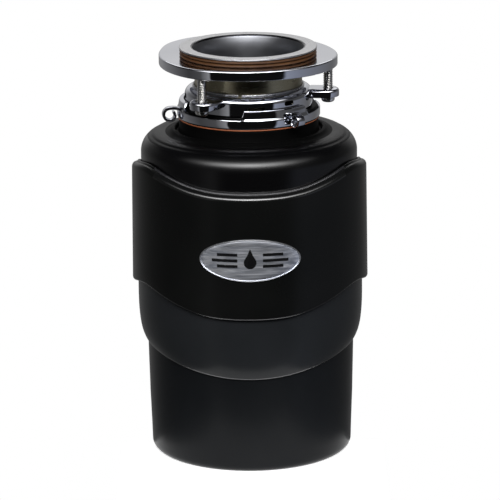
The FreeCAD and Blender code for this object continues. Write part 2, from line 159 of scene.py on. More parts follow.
def loft(name, loops, material, closed=True):
    """Skin over a list of equally long closed loops of 3-D points."""
    n = len(loops[0])
    verts = [p for loop in loops for p in loop]
    faces = []
    for k in range(len(loops) if closed else len(loops) - 1):
        base, nxt = k * n, ((k + 1) % len(loops)) * n
        for i in range(n):
            j = (i + 1) % n
            faces.append((base + i, base + j, nxt + j, nxt + i))
    if not closed:
        faces.append(tuple(range(n)))
        faces.append(tuple(range(len(verts) - n, len(verts))))
    return make_object(name, verts, faces, material)


def cut(obj, *tools):
    """Take the tool objects out of obj for good."""
    for tool in tools:
        mod = obj.modifiers.new("cut", "BOOLEAN")
        mod.operation, mod.solver, mod.object = "DIFFERENCE", "EXACT", tool
        bpy.context.view_layer.update()
        evaluated = obj.evaluated_get(bpy.context.evaluated_depsgraph_get())
        mesh = bpy.data.meshes.new_from_object(evaluated)
        obj.modifiers.clear()
        obj.data = mesh
        bpy.data.objects.remove(tool)
    for poly in obj.data.polygons:
        poly.use_smooth = True
    obj.data.set_sharp_from_angle(angle=math.radians(SHARP_ANGLE))
    return obj


def bar(points, radius, sides=48):
    """Round bar between two points, for cutting holes."""
    a, b = Vector(points[0]), Vector(points[1])
    axis = (b - a).normalized()
    side = axis.orthogonal().normalized()
    other = axis.cross(side)
    loops = []
    for p in (a, b):
        loops.append([p + (side * math.cos(t) + other * math.sin(t)) * radius
                      for t in [2 * math.pi * k / sides for k in range(sides)]])
    return orient(loft("tool", loops, BLANK, closed=False))


def polar(r, angle, z=0.0):
    """Point at a radius and at an angle counter-clockwise from +X, seen from above."""
    a = math.radians(angle)
    return Vector((r * math.cos(a), r * math.sin(a), z))


# ---- materials ---------------------------------------------------------------
def new_material(name, color, roughness, metallic=0.0, **sockets):
    """Plain material; other socket names are given with underscores for spaces."""
    mat = bpy.data.materials.new(name)
    mat.use_nodes = True
    shader = mat.node_tree.nodes["Principled BSDF"]
    shader.inputs["Base Color"].default_value = (*color, 1.0)
    shader.inputs["Roughness"].default_value = roughness
    shader.inputs["Metallic"].default_value = metallic
    for key, value in sockets.items():
        shader.inputs[key.replace("_", " ")].default_value = value
    return mat


def add_node(mat, kind, **values):
    """New shader node; values are its properties, or else its inputs."""
    node = mat.node_tree.nodes.new(kind)
    for key, value in values.items():
        if hasattr(node, key):
            setattr(node, key, value)
        else:
            node.inputs[key.replace("_", " ")].default_value = value
    return node


def noise(mat, scale, detail=3.0, stretch=(1, 1, 1), rough=0.5):
    """Noise fixed to the object, squeezed along each axis by stretch."""
    coord = add_node(mat, "ShaderNodeTexCoord")
    mapping = add_node(mat, "ShaderNodeMapping")
    mapping.inputs["Scale"].default_value = stretch
    tex = add_node(mat, "ShaderNodeTexNoise", Scale=scale, Detail=detail, Roughness=rough)
    mat.node_tree.links.new(coord.outputs["Object"], mapping.inputs["Vector"])
    mat.node_tree.links.new(mapping.outputs["Vector"], tex.inputs["Vector"])
    return tex.outputs["Fac"]


def ranged(mat, source, low, high, start=0.3, end=0.7):
    """Source between start and end spread over low to high."""
    node = add_node(mat, "ShaderNodeMapRange")
    for key, value in (("From Min", start), ("From Max", end), ("To Min", low), ("To Max", high)):
        node.inputs[key].default_value = value
    mat.node_tree.links.new(source, node.inputs["Value"])
    return node.outputs["Result"]


def bump(mat, source, strength, distance):
    """Fine relief from a source."""
    node = add_node(mat, "ShaderNodeBump", Strength=strength, Distance=distance)
    mat.node_tree.links.new(source, node.inputs["Height"])
    shader = mat.node_tree.nodes["Principled BSDF"]
    mat.node_tree.links.new(node.outputs["Normal"], shader.inputs["Normal"])


def tint(mat, source, dark, light):
    """Base colour between two tones, led by a source."""
    ramp = add_node(mat, "ShaderNodeValToRGB")
    ramp.color_ramp.elements[0].position, ramp.color_ramp.elements[1].position = 0.35, 0.65
    ramp.color_ramp.elements[0].color = (*dark, 1.0)
    ramp.color_ramp.elements[1].color = (*light, 1.0)
    mat.node_tree.links.new(source, ramp.inputs["Fac"])
    shader = mat.node_tree.nodes["Principled BSDF"]
    mat.node_tree.links.new(ramp.outputs["Color"], shader.inputs["Base Color"])


def vary_roughness(mat, source, low, high):
    """Roughness between two values, led by a source."""
    shader = mat.node_tree.nodes["Principled BSDF"]
    mat.node_tree.links.new(ranged(mat, source, low, high), shader.inputs["Roughness"])


def coated(name, dark, light, rough_low, rough_high, grain=2600.0, depth=0.00003, specular=0.5):
    """Satin coating with a fine orange-peel grain and slow cloudiness."""
    mat = new_material(name, dark, rough_low, Specular_IOR_Level=specular)
    tint(mat, noise(mat, 14.0), dark, light)
    vary_roughness(mat, noise(mat, 22.0), rough_low, rough_high)
    bump(mat, noise(mat, grain, 2.0), 0.25, depth)
    return mat


def metal(name, dark, light, rough_low, rough_high, scale=60.0, stretch=(1, 1, 1), depth=0.0,
          grain=900.0):
    """Bare or plated metal: slow changes of tone and gloss, and a grain where depth is given."""
    mat = new_material(name, dark, rough_low, 1.0)
    tint(mat, noise(mat, scale, 3.0, stretch), dark, light)
    vary_roughness(mat, noise(mat, scale * 1.7, 4.0, stretch), rough_low, rough_high)
    if depth:
        bump(mat, noise(mat, grain, 2.0, stretch), 0.35, depth)
    return mat


BLANK = new_material("cutter", (0.5, 0.5, 0.5), 0.5)
BLACK_BAND = coated("satin_black_band", (0.0024, 0.0026, 0.0025), (0.0034, 0.0036, 0.0035),
                    0.26, 0.31, specular=0.16)
BLACK_EDGE = coated("satin_black_edge", (0.0024, 0.0026, 0.0025), (0.0034, 0.0036, 0.0035),
                    0.20, 0.23, 1200.0, 0.000004, 0.8)
# The middle shell gets a lighter copy of the shell black: painted light, making up for the floor light the
# lower shell catches.
BLACK_MIDDLE_PAINTED_LIGHT = coated("satin_black_middle_painted_light", (0.0085, 0.0095, 0.0105), (0.0105, 0.0115, 0.0130),
                      0.28, 0.33, specular=0.20)
BLACK_SHELL = coated("satin_black_shell", (0.0036, 0.0041, 0.0048), (0.0048, 0.0054, 0.0062),
                     0.28, 0.33, specular=0.12)
BLACK_COVER = coated("satin_black_cover", (0.0008, 0.0008, 0.0010), (0.0012, 0.0012, 0.0014),
                     0.24, 0.27, specular=0.36)
COVER_TOP = coated("satin_black_cover_top", (0.0008, 0.0008, 0.0010), (0.0012, 0.0012, 0.0014),
                   0.36, 0.40, specular=0.09)
RUBBER = coated("black_rubber", (0.0012, 0.0012, 0.0012), (0.002, 0.002, 0.002),
                0.42, 0.52, 1500.0, 0.00006, 0.02)
INK = coated("emblem_black", (0.003, 0.003, 0.0035), (0.005, 0.005, 0.0055),
             0.25, 0.32, 3000.0, 0.00001, 0.4)
DRAIN = coated("moulded_black", (0.012, 0.012, 0.013), (0.018, 0.018, 0.019),
               0.4, 0.52, 1200.0, 0.00008, 0.4)
GREY_PLASTIC = coated("grey_plastic", (0.10, 0.10, 0.105), (0.13, 0.13, 0.135), 0.4, 0.5)
RED_PLASTIC = coated("red_plastic", (0.42, 0.012, 0.01), (0.5, 0.02, 0.015), 0.3, 0.36)
FOAM = coated("grey_foam", (0.22, 0.22, 0.21), (0.32, 0.32, 0.30), 0.85, 0.95, 600.0, 0.0006, 0.2)

# Grey metal on the shells' lowest millimetre: a painted highlight line along the lower edges.
EDGE_PAINTED_HIGHLIGHT = metal("edge_painted_highlight", (0.10, 0.10, 0.103), (0.13, 0.13, 0.134), 0.22, 0.28, 40.0)
# Bright metal on the black band's bead: a painted highlight line along its top.
BEAD_PAINTED_HIGHLIGHT = metal("bead_painted_highlight", (0.55, 0.55, 0.56), (0.62, 0.62, 0.63), 0.20, 0.24, 40.0)
CHROME = metal("polished_chrome", (0.59, 0.60, 0.65), (0.66, 0.67, 0.72), 0.04, 0.075, 18.0)
BEZEL_CHROME = metal("bezel_chrome", (0.60, 0.61, 0.64), (0.68, 0.69, 0.72), 0.34, 0.40, 30.0)
BRUSHED = metal("brushed_silver", (0.46, 0.49, 0.56), (0.92, 0.94, 1.0), 0.34, 0.46,
                24.0, (1, 10, 18), 0.00004, 60.0)
STEEL = metal("satin_steel", (0.42, 0.42, 0.43), (0.50, 0.50, 0.51), 0.22, 0.32,
              40.0, (1, 1, 6), 0.00002, 300.0)
# The mouth's inner wall gets a darker copy of the flange steel: painted shade inside the mouth.
FUNNEL_SHADED = metal("funnel_steel_painted_shade", (0.19, 0.195, 0.21), (0.23, 0.235, 0.25), 0.34, 0.40, 40.0)
# Near-black steel on the mouth's rim: a painted dark reflection line.
FUNNEL_LIP_SHADE = metal("funnel_lip_painted_shade", (0.03, 0.03, 0.035), (0.05, 0.05, 0.055), 0.25, 0.30, 40.0)
ZINC = metal("zinc_plate", (0.74, 0.73, 0.71), (0.84, 0.83, 0.81), 0.12, 0.22, 120.0, depth=0.00002)
# Near-black zinc in the thread's roots: painted shade in the grooves.
THREAD_ROOT_SHADE = metal("zinc_thread_root_painted_shade", (0.08, 0.08, 0.08), (0.14, 0.14, 0.14), 0.3, 0.4, 120.0)
ALLOY = metal("cast_alloy", (0.36, 0.37, 0.38), (0.48, 0.49, 0.50), 0.42, 0.58,
              80.0, depth=0.0002, grain=500.0)
IRON = metal("machined_iron", (0.16, 0.16, 0.17), (0.24, 0.24, 0.25), 0.38, 0.55,
             90.0, depth=0.0001, grain=700.0)
LAMINATE = metal("laminated_steel", (0.20, 0.20, 0.21), (0.32, 0.32, 0.33), 0.35, 0.5,
                 60.0, (1, 1, 60), 0.0001, 60.0)
BRONZE = metal("sintered_bronze", (0.38, 0.22, 0.09), (0.50, 0.31, 0.14), 0.35, 0.5,
               200.0, depth=0.00005)
COPPER = metal("enamelled_copper", (0.42, 0.14, 0.05), (0.55, 0.22, 0.09), 0.3, 0.42,
               40.0, (1, 1, 80), 0.0003, 40.0)


def fibre_material(name, dark, light):
    """Dense pressed fibre: fine strands round the ring and a dry, slightly waxy surface."""
    mat = new_material(name, dark, 0.5, Specular_IOR_Level=0.35)
    tint(mat, noise(mat, 90.0, 6.0, (1, 1, 5), 0.65), dark, light)
    vary_roughness(mat, noise(mat, 160.0), 0.42, 0.62)
    bump(mat, noise(mat, 900.0, 4.0), 0.5, 0.00012)
    return mat


FIBRE = fibre_material("brown_fibre", (0.046, 0.017, 0.005), (0.082, 0.036, 0.013))
COPPER_FIBRE = fibre_material("orange_fibre", (0.22, 0.060, 0.022), (0.32, 0.105, 0.045))


def sleeve_material():
    """Satin steel inside, a darker bronze-olive tone on the outside of the sleeve."""
    mat = new_material("flange_steel", (0.45, 0.45, 0.46), 0.25, 1.0)
    tree = mat.node_tree
    coord = add_node(mat, "ShaderNodeTexCoord")
    split = add_node(mat, "ShaderNodeSeparateXYZ")
    tree.links.new(coord.outputs["Object"], split.inputs["Vector"])
    squares = []
    for axis in "XY":
        square = add_node(mat, "ShaderNodeMath", operation="POWER")
        tree.links.new(split.outputs[axis], square.inputs[0])
        square.inputs[1].default_value = 2.0
        squares.append(square)
    total = add_node(mat, "ShaderNodeMath", operation="ADD")
    for k, square in enumerate(squares):
        tree.links.new(square.outputs[0], total.inputs[k])
    outside = ranged(mat, total.outputs[0], 0.0, 1.0, (42.35 * MM) ** 2, (42.45 * MM) ** 2)
    below = ranged(mat, split.outputs["Z"], 1.0, 0.0, 322.5 * MM, 323.5 * MM)
    mask = add_node(mat, "ShaderNodeMath", operation="MULTIPLY")
    tree.links.new(outside, mask.inputs[0])
    tree.links.new(below, mask.inputs[1])
    mix = add_node(mat, "ShaderNodeMix", data_type="RGBA")
    mix.inputs[6].default_value = (0.50, 0.50, 0.51, 1)
    mix.inputs[7].default_value = (0.32, 0.29, 0.20, 1)
    tree.links.new(mask.outputs[0], mix.inputs[0])
    shader = tree.nodes["Principled BSDF"]
    tree.links.new(mix.outputs[2], shader.inputs["Base Color"])
    vary_roughness(mat, noise(mat, 70.0, 4.0, (1, 1, 8)), 0.26, 0.34)
    return mat


SLEEVE = sleeve_material()

# ---- outer shells ------------------------------------------------------------
# height of the band's edges against the angle from the front
BAND_TOP = ((0, 230.1), (8, 230.2), (18.6, 230.8), (30, 232.9), (38.6, 235.8), (51, 240.3), (57, 242.4),
            (63, 243.4), (70, 242.6), (79, 240.2), (88, 238.2), (95, 236.5), (100, 233.8), (105, 231.0),
            (110, 229.0), (115, 228.5), (122, 228.8), (135, 230.9), (148, 232.7), (155, 233.0),
            (180, 233.0))
BAND_LOW = ((0, 129.9), (9.5, 130.0), (20, 130.9), (29, 133.6), (37, 137.1), (46, 141.0), (55, 145.2),
            (63, 147.3), (72, 145.8), (81, 142.4), (90, 140.5))
LIP_Z = 93.6             # height of the middle shell's lower lip at the sides


def fold(psi, last):
    """Front angle folded onto a table that ends at the side (90) or at the back (180)."""
    psi = abs((psi + 180.0) % 360.0 - 180.0)
    return 180.0 - psi if psi > 90 and last < 180 else psi


def softened(table, psi, spread=7.0, taps=9):
    """Table value smoothed over a few degrees, so the edge has no corners."""
    total = weight = 0.0
    for k in range(taps):
        offset = spread * (2.0 * k / (taps - 1) - 1)
        w = 1.0 - abs(offset) / (spread * 1.1)
        total += w * lerp_table(table, fold(psi + offset, table[-1][0]))
        weight += w
    return total / weight


def band_wall(z):
    """Outer radius of the band, which narrows a little upward."""
    return 94.9 + (94.2 - 94.9) * (z - 146.0) / (229.0 - 146.0)


def lip_drop(psi):
    """Height of the middle shell's lip over its height at the sides; it dips at the front and back."""
    return (86.0 - 7.6 * math.cos(math.radians(2 * psi))) - LIP_Z


def band_section(psi):
    """Wall with a round lower edge, a round shoulder on top and a bead just inside it."""
    low, top = softened(BAND_LOW, psi), softened(BAND_TOP, psi)
    out = [(90.7, low + 1.2), (91.3, low + 0.3)]
    out += arc(band_wall(low) - 2.2, low + 2.2, 2.2, -90, 0, 6)
    for k in range(1, 12):
        z = low + 2.2 + (top - 4.6 - low - 2.2) * k / 12
        out.append((band_wall(z), z))
    out += arc(band_wall(top) - 4.4, top - 4.4 + 0.2, 4.4, 0, 84, 9)
    out += [(89.95, top + 0.15), (89.6, top + 0.5), (89.3, top + 1.0), (88.85, top + 1.35),
            (88.3, top + 1.45), (87.75, top + 1.3), (87.3, top + 0.8), (87.0, top - 0.2),
            (86.95, top - 1.2)]
    out += [(87.0, 214.5), (90.7, 213.5)]
    return out


def mid_section(psi):
    """Straight wall with a shoulder on top and a flared lip below."""
    drop = lip_drop(psi)
    path = [(84.0, 93.8), (84.5, LIP_Z), (85.0, 93.9), (85.5, 94.7), (86.3, 96.3), (87.5, 99.4),
            (88.3, 102.3), (88.9, 105.3), (89.4, 108.8), (89.8, 112.6), (90.1, 116.6), (90.35, 121.5),
            (90.5, 129.0), (90.5, 138.0)]
    out = [(r, z + drop) for r, z in path]
    out += [(90.5, 160.0), (90.5, 211.0), (90.0, 211.9), (76.0, 211.9), (76.0, 210.5), (88.6, 210.5),
            (88.6, 160.0)]
    for r, z in reversed(path[3:]):
        out.append((max(83.5, r - 1.9), z + drop + 0.5))
    out.append((83.6, 94.6 + drop))
    return out


def lower_section(psi):
    """Slightly tapered wall, round at the foot, with a rolled rim inside the base."""
    out = [(64.2, 0.0), (73.8, 0.0)] + arc(74.4, 6.6, 6.6, -84, 0, 9)[:-1]
    out += [(81.0, 8.0), (81.1, 12.0), (81.3, 19.0), (81.6, 27.0), (81.9, 36.0), (82.3, 46.0),
            (82.5, 57.0), (82.85, 72.0), (83.15, 87.0), (83.2, 110.0), (83.2, 149.6)]
    out += [(82.2, 149.9), (82.0, 149.0), (82.0, 87.0), (80.7, 36.0), (79.8, 10.0), (78.6, 5.0),
            (75.0, 1.6), (66.0, 1.5), (65.5, 2.2), (65.5, 9.5), (64.9, 10.0), (64.2, 9.6), (64.0, 0.9)]
    return out


def cover_section(psi):
    """Low dome with a shallow ring groove in its shoulder and a short upturned neck."""
    out = [(86.7, 212.1), (86.7, 225.0), (86.7, 236.0), (86.7, 246.5)]
    for k in range(1, 25):
        a = math.radians(90.0 * k / 24)
        r, z = 70.7 + 16 * math.cos(a), 246.5 + 16 * math.sin(a)
        dent = 0.5 * math.exp(-((r - 78.4) / 0.95) ** 2)
        out.append((r - dent * math.cos(a), z - dent * math.sin(a)))
    out += [(68.5, 262.4), (67.0, 262.35), (65.8, 262.45), (64.6, 262.8), (63.4, 263.4), (62.4, 264.2),
            (61.5, 265.0)]
    out += arc(60.1, 264.3, 1.2, 40, 170, 5)
    out += [(58.7, 262.0), (58.7, 260.2), (60.5, 260.2), (66.0, 260.8), (71.0, 260.9)]
    out += arc(70.7, 246.5, 14.4, 85, 0, 8) + [(85.1, 212.1)]
    return out


CORNERS = ((1, 1, 0), (-1, 1, 90), (-1, -1, 180), (1, -1, 270))   # side, height, first angle


def rounded_rectangle(half_width, half_height, radius, steps):
    """Points (u, v) round a rectangle; half sizes are measured to the corners' centres."""
    points = []
    for side, height, start in CORNERS:
        for k in range(steps + 1):
            a = math.radians(start + 90.0 * k / steps)
            points.append((side * half_width + radius * math.cos(a),
                           height * half_height + radius * math.sin(a)))
    return points


def outlet_cutter():
    """Rounded opening behind the discharge boss, for cutting."""
    outline = rounded_rectangle(22.0, 5.5, 17.5, 8)
    loops = [[Vector((u, y, 173.0 + v)) for u, v in outline] for y in (70.0, 130.0)]
    return orient(loft("tool", loops, BLANK, closed=False))


def front_angle(p):
    """Angle from the front, positive toward +X."""
    return math.degrees(math.atan2(p.x, -p.y))


def on_band_edge(p, normal):
    """Rounded top edge of the band."""
    psi = front_angle(p)
    return p.z > softened(BAND_TOP, psi) - 4.4 and abs(psi) < 54


def on_bead(p, normal):
    """Bead inside the band's top edge, where a bright metal paints a highlight line."""
    psi = front_angle(p)
    return math.hypot(p.x, p.y) < 90.0 and p.z > softened(BAND_TOP, psi) - 0.3 and abs(psi) < 57


def on_lower_edge(p, normal):
    """Last millimetre under the band's lower edge, given a painted highlight line."""
    psi = front_angle(p)
    return p.z < softened(BAND_LOW, psi) + 1.0 and abs(psi) < 88


def on_middle_edge(p, normal):
    """Last millimetre of the flared lower lip, given a painted highlight line."""
    psi = front_angle(p)
    return p.z < LIP_Z + 1.0 + lip_drop(psi) and abs(psi) < 88


INLET_ANGLE, INLET_Z, INLET_HOLE = 125, 216, 12.5       # dishwasher inlet
SHELL_STEPS = 240
DOME_TOP_Z = 258.8       # the cover is duller above this
NECK_LIP_Z, NECK_LIP_RADIUS = 261.8, 66.5


def inlet_cutter():
    """Round hole through the shells for the dishwasher inlet."""
    return bar((polar(60, INLET_ANGLE, INLET_Z), polar(130, INLET_ANGLE, INLET_Z)), INLET_HOLE)


band = cut(lathe("trim_band_skin", band_section, BLACK_BAND, SHELL_STEPS), outlet_cutter(), inlet_cutter())
second_material(band, BLACK_EDGE, on_band_edge)
second_material(band, BEAD_PAINTED_HIGHLIGHT, on_bead)
second_material(band, EDGE_PAINTED_HIGHLIGHT, on_lower_edge)
settle(band, ROOT, "black_band", "trim_band")
middle = cut(lathe("middle_shell_skin", mid_section, BLACK_MIDDLE_PAINTED_LIGHT, SHELL_STEPS),
             outlet_cutter(), inlet_cutter())
second_material(middle, EDGE_PAINTED_HIGHLIGHT, on_middle_edge)
settle(middle, ROOT, "black_shell_middle", "middle_shell")
lower = lathe("lower_shell_skin", lower_section, BLACK_SHELL, SHELL_STEPS)
settle(lower, ROOT, "black_shell_lower", "lower_shell")
cover = cut(lathe("top_cover_skin", cover_section, BLACK_COVER, SHELL_STEPS), inlet_cutter())
second_material(cover, COVER_TOP, lambda p, n: p.z > DOME_TOP_Z)
second_material(cover, RUBBER, lambda p, n: p.z > NECK_LIP_Z and math.hypot(p.x, p.y) < NECK_LIP_RADIUS)
settle(cover, ROOT, "black_cover", "top_cover")

# ---- badge -------------------------------------------------------------------
BADGE_Z, BADGE_A, BADGE_B = 179.2, 40.0, 17.25           # middle and half axes of the oval
BADGE_STEPS = 128
FIELD_INSET, FIELD_LIFT = 2.3, 0.92                      # flat field inside the bezel


def on_band(x, z, lift):
    """Point of the badge: lift is the height over the band, measured along its radius."""
    r = band_wall(z) + lift
    return (x, -math.sqrt(r * r - x * x), z)


def badge_loop(inset, lift, scale=1.0):
    """Oval at an inset from the badge's edge, shrunk about its middle by scale."""
    out = []
    for k in range(BADGE_STEPS):
        t = 2 * math.pi * k / BADGE_STEPS
        x, z = (BADGE_A - inset) * scale * math.cos(t), (BADGE_B - inset) * scale * math.sin(t)
        out.append(on_band(x, BADGE_Z + z, lift))
    return out


bezel_path = ((0.25, 0.05), (0.15, 0.7), (0.3, 1.2), (0.6, 1.45), (0.9, 1.4), (1.15, 1.1), (1.25, 0.7),
              (1.3, 0.05))
bezel = loft("badge_bezel_ring", [badge_loop(i, h) for i, h in bezel_path], BEZEL_CHROME)
settle(bezel, ROOT, "polished_chrome", "badge_bezel")
plate_loops = [badge_loop(i, h) for i, h in ((1.3, 0.05), (1.3, 0.75), (2.0, 0.9))]
plate_loops += [badge_loop(FIELD_INSET, FIELD_LIFT, 1 - k / 14.0) for k in range(1, 14)]
settle(loft("badge_plate_skin", plate_loops, BRUSHED, closed=False), ROOT, "badge_silver", "badge_plate")


def inlay(name, outline):
    """Thin raised inlay on the badge from a closed (x, z) outline seen from the front."""
    fine = []
    for i, (x, z) in enumerate(outline):
        x1, z1 = outline[(i + 1) % len(outline)]
        for k in range(3):
            fine.append((x + (x1 - x) * k / 3, z + (z1 - z) * k / 3))
    mid_z = sum(z for _, z in fine) / len(fine)
    loops = []
    for shrink, lift in ((0, 0.8), (0, 1.12), (0.036, 1.2)):
        loops.append([on_band(x, z + (mid_z - z) * shrink, lift) for x, z in fine])
    return loft(name, loops, INK, closed=False)


def join(objects, name):
    """One object out of several."""
    with bpy.context.temp_override(active_object=objects[0], selected_editable_objects=objects,
                                   selected_objects=objects, object=objects[0]):
        bpy.ops.object.join()
    objects[0].name = name
    return objects[0]


drop_outline = [(5.0 * math.sin(math.radians(a)), BADGE_Z - 1.6 - 5.0 * math.cos(math.radians(a)))
                for a in range(-120, 121, 12)]
drop_outline += [(2.2, BADGE_Z + 4.4), (0.0, BADGE_Z + 9.4), (-2.2, BADGE_Z + 4.4)]
STRIPE = ((-1.2, 0.8), (1.2, 0.8), (1.2, 1.08), (1.08, 1.2), (-1.08, 1.2), (-1.2, 1.08))   # height, lift
emblem = [inlay("badge_drop", drop_outline)]
for side in (-1, 1):
    for dz, length in ((-4.6, 16.0), (0.0, 20.0), (4.6, 16.0)):
        loops = []
        for k in range(13):
            x = side * (10.0 + length * k / 12)
            loops.append([on_band(x, BADGE_Z + dz + u, lift) for u, lift in STRIPE])
        emblem.append(loft("badge_stripe", loops, INK, closed=False))
settle(join(emblem, "badge_emblem_inlay"), ROOT, "badge_black", "badge_emblem")

# ---- sink flange, gaskets, plate ---------------------------------------------
sleeve_path = [(41.8, 283.5), (43.0, 283.5), (43.0, 322.5), (46.4, 329.8), (55.0, 329.8), (55.0, 331.2)]
funnel_path = [(45.9, 331.2), (45.3, 331.15), (44.85, 330.95), (44.45, 330.5), (44.1, 329.8),
               (43.75, 328.8), (43.4, 327.6), (43.0, 326.2), (42.65, 324.7), (42.35, 323.0),
               (42.1, 321.2), (41.95, 319.0), (41.85, 316.0), (41.8, 312.0)]
flange_outline = rounded(sleeve_path + funnel_path, {0: 0.4, 1: 0.4, 2: 6, 3: 1.2, 4: 0.5, 5: 0.6}, 8)


def in_funnel(p, normal):
    """Inward-facing wall of the flange's mouth, darkened as painted shade."""
    return p.z > 311.0 and normal.x * p.x + normal.y * p.y < -2.0 and math.hypot(p.x, p.y) < 46.6


def on_funnel_lip(p, normal):
    """Narrow ring where the mouth turns over into the flange; its near-black steel is a painted dark
    reflection.
    """
    return p.z > 330.1 and 44.0 < math.hypot(p.x, p.y) < 45.8


def gasket_outline(r_in, z0):
    """Flat ring 2.7 mm thick with a bulging outer edge."""
    steps = (-1, -0.85, -0.65, -0.4, -0.15, 0.15, 0.4, 0.65, 0.85, 1)
    bulge = [(54.7 - 2.4 * abs(t) ** 3, z0 + 1.35 + 1.32 * t) for t in steps]
    return [(r_in, z0), (52.0, z0), *bulge, (52.0, z0 + 2.7), (r_in, z0 + 2.7)]


flange = orient(lathe("sink_flange_skin", lambda psi: flange_outline, SLEEVE, 192))
second_material(flange, FUNNEL_SHADED, in_funnel)
second_material(flange, FUNNEL_LIP_SHADE, on_funnel_lip)
settle(flange, ROOT, "stainless", "sink_flange")
for part, r_in, z0 in (("sink_gasket_lower", 45.6, 324.05), ("sink_gasket_upper", 47.0, 326.85)):
    outline = gasket_outline(r_in, z0)
    settle(lathe(part + "_skin", lambda psi, o=outline: o, FIBRE, 144), "clamp", "fibre", part)

# radius of the backup plate against the angle from +X
PLATE_OUTLINE = ((-90, 66.5), (-65, 67.0), (-35, 69.5), (-5, 71.4), (20, 71.6), (45, 73.5), (70, 76.0),
                 (95, 81.0), (118, 85.0), (140, 82.0), (160, 75.0), (180, 71.2), (205, 69.8), (235, 70.4),
                 (255, 67.4), (270, 66.5))


def plate_radius(angle):
    """Smooth closed outline through the plate's corner points (Catmull-Rom in angle)."""
    a = (angle + 90.0) % 360.0 - 90.0
    pts = PLATE_OUTLINE
    for i in range(len(pts) - 1):
        if pts[i][0] <= a <= pts[i + 1][0]:
            break
    before = pts[i - 1] if i else (pts[-2][0] - 360, pts[-2][1])
    after = pts[i + 2] if i + 2 < len(pts) else (pts[1][0] + 360, pts[1][1])
    (x0, y0), (x1, y1) = pts[i], pts[i + 1]
    m0, m1 = (y1 - before[1]) / (x1 - before[0]), (after[1] - y0) / (after[0] - x0)
    h = x1 - x0
    t = (a - x0) / h
    return ((2 * t ** 3 - 3 * t * t + 1) * y0 + (t ** 3 - 2 * t * t + t) * h * m0
            + (3 * t * t - 2 * t ** 3) * y1 + (t ** 3 - t * t) * h * m1)


def plate_section(psi):
    """Flat plate with a rolled edge that turns down round its rim."""
    edge = plate_radius(psi - 90.0) - 0.15
    out = [(44.5, 321.2), (44.5, 323.7), (44.8, 323.98), (60.0, 324.0), (edge - 1.7, 323.98)]
    out += arc(edge - 1.3, 322.68, 1.3, 84, 4, 6)
    out += [(edge, 321.0), (edge, 318.5)] + arc(edge - 0.5, 316.6, 0.5, 0, -90, 3)
    out += arc(edge - 1.4, 316.6, 0.5, -90, -180, 3) + [(edge - 1.9, 319.5), (edge - 2.9, 321.0)]
    return out


settle(lathe("backup_plate_skin", plate_section, CHROME, 288), "clamp", "polished_chrome", "backup_flange")


# ---- upper mounting ring -----------------------------------------------------
def upper_section(psi):
    """Angle-section ring whose lower bead grows outward into a ramp beside each screw."""
    angle = psi - 90.0
    ramp = 0.0
    for a in SCREW_ANGLES:
        local = (angle - (a + 32)) % 360.0
        if local < 60:
            ramp = max(ramp, smooth(local / 2.0) * smooth((56 - local) / 2.0))
    out = [(43.4, 297.2), (43.4, 298.7), (43.7, 299.0), (44.9, 299.0)]
    out += arc(45.0, 293.0, 6.0, 88, 4, 9)
    out += [(51.0, 291.0), (51.0, 287.2), (51.0 + 1.5 * ramp, 286.3), (51.0 + 1.6 * ramp, 284.6),
            (50.6 + 1.4 * ramp, 284.05), (49.4, 284.05), (49.0, 284.6), (49.0, 292.0)]
    out += arc(44.9, 293.1, 4.1, 0, 88, 6)
    return out


def slot_cutter(angle, half_width, z0, z1, r_end=1.5):
    """Rounded slot through the ring's wall, for cutting."""
    outline = rounded_rectangle(half_width - r_end, (z1 - z0) / 2 - r_end, r_end, 4)
    loops = []
    for radius in (46.0, 54.0):
        loops.append([polar(radius, angle, (z0 + z1) / 2 + v) + polar(u, angle + 90.0) for u, v in outline])
    return orient(loft("tool", loops, BLANK, closed=False))


upper = orient(lathe("upper_ring_shell", upper_section, CHROME, 240))
tools = []
for a in SCREW_ANGLES:
    tools.append(slot_cutter(a + 42, 7.0, 287.3, 291.6, 1.6))
    tools.append(slot_cutter(a + 74, 4.6, 290.8, 294.6, 1.8))
upper = cut(upper, *tools)

EAR_STEPS = 72
EAR_HALF, EAR_INNER, EAR_CENTRE = 11.0, 48.6, 61.6      # half width, inner end, middle of the round end


def stadium(angle, inset, z):
    """Loop round an ear at the given inset, starting from the screw's axis direction."""
    out = []
    half = EAR_HALF - inset
    for k in range(EAR_STEPS):
        t = 2 * math.pi * k / EAR_STEPS
        dx, dy = math.cos(t), math.sin(t)
        best = math.inf
        if abs(dy) > 1e-6:
            s = half / abs(dy)
            if SCREW_RADIUS + s * dx <= EAR_CENTRE:
                best = min(best, s)
        if dx < -1e-6:
            s = (SCREW_RADIUS - EAR_INNER) / -dx
            if abs(s * dy) <= half:
                best = min(best, s)
        b = (SCREW_RADIUS - EAR_CENTRE) * dx
        c = (SCREW_RADIUS - EAR_CENTRE) ** 2 - half * half
        root = -b + math.sqrt(max(0.0, b * b - c))
        if SCREW_RADIUS + root * dx >= EAR_CENTRE:
            best = min(best, root)
        out.append(polar(SCREW_RADIUS + best * dx, angle, z) + polar(best * dy, angle + 90.0))
    return out


def hub_circle(angle, radius, z):
    """Circle round a screw's axis."""
    out = []
    for k in range(EAR_STEPS):
        t = 2 * math.pi * k / EAR_STEPS
        out.append(polar(SCREW_RADIUS + radius * math.cos(t), angle, z)
                   + polar(radius * math.sin(t), angle + 90.0))
    return out


HUB_TOP = ((4.05, 295.8), (4.05, 297.3), (4.4, 297.6), (5.6, 297.62))     # radius, height
